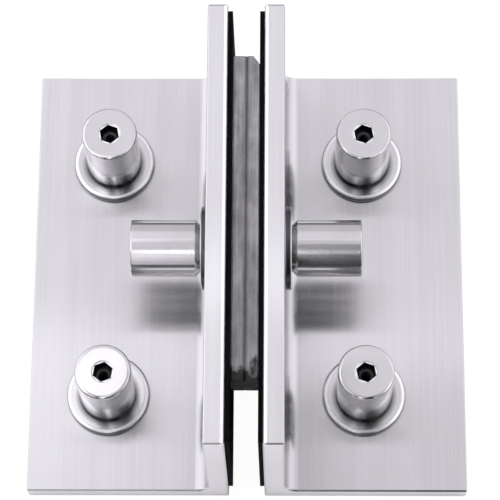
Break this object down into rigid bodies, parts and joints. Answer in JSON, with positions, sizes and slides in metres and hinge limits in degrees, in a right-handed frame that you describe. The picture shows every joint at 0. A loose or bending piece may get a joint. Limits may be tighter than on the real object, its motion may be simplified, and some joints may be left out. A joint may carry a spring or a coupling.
{
  "type": "glass panel bracket",
  "caption": "Clamp bracket for a glass panel: steel angles lined with rubber grip the glass edge on a through bolt, and barrel nuts on large washers hold the wall legs.",
  "frame": {"origin": "middle of the glass slot on the wall plane, below the clamp bolt", "axes": "+X across the slot to the right, +Y along the glass edge to the back, +Z away from the wall"},
  "size_m": [0.196, 0.2, 0.09],
  "materials": {
    "angle_steel": "satin, brushed along the length",
    "nut_steel": "turned and polished",
    "washer_steel": "satin with a bright rim",
    "stud_steel": "plain rolled thread",
    "gasket_rubber": "matt black sheet",
    "packer_plastic": "matt grey",
    "bush_nylon": "natural white"
  },
  "bodies": {
    "root": {"angle_left": "angle_steel", "angle_right": "angle_steel", "gasket_left": "gasket_rubber", "gasket_right": "gasket_rubber", "packer_left": "packer_plastic", "packer_right": "packer_plastic", "clamp_stud": "stud_steel", "glass_bush": "bush_nylon", "clamp_washer_left": "washer_steel", "clamp_washer_right": "washer_steel", "clamp_nut_left": "nut_steel", "clamp_nut_right": "nut_steel", "wall_washer_left_front": "washer_steel", "wall_nut_left_front": "nut_steel", "wall_washer_left_back": "washer_steel", "wall_nut_left_back": "nut_steel", "wall_washer_right_front": "washer_steel", "wall_nut_right_front": "nut_steel", "wall_washer_right_back": "washer_steel", "wall_nut_right_back": "nut_steel"}
  },
  "joints": []
}
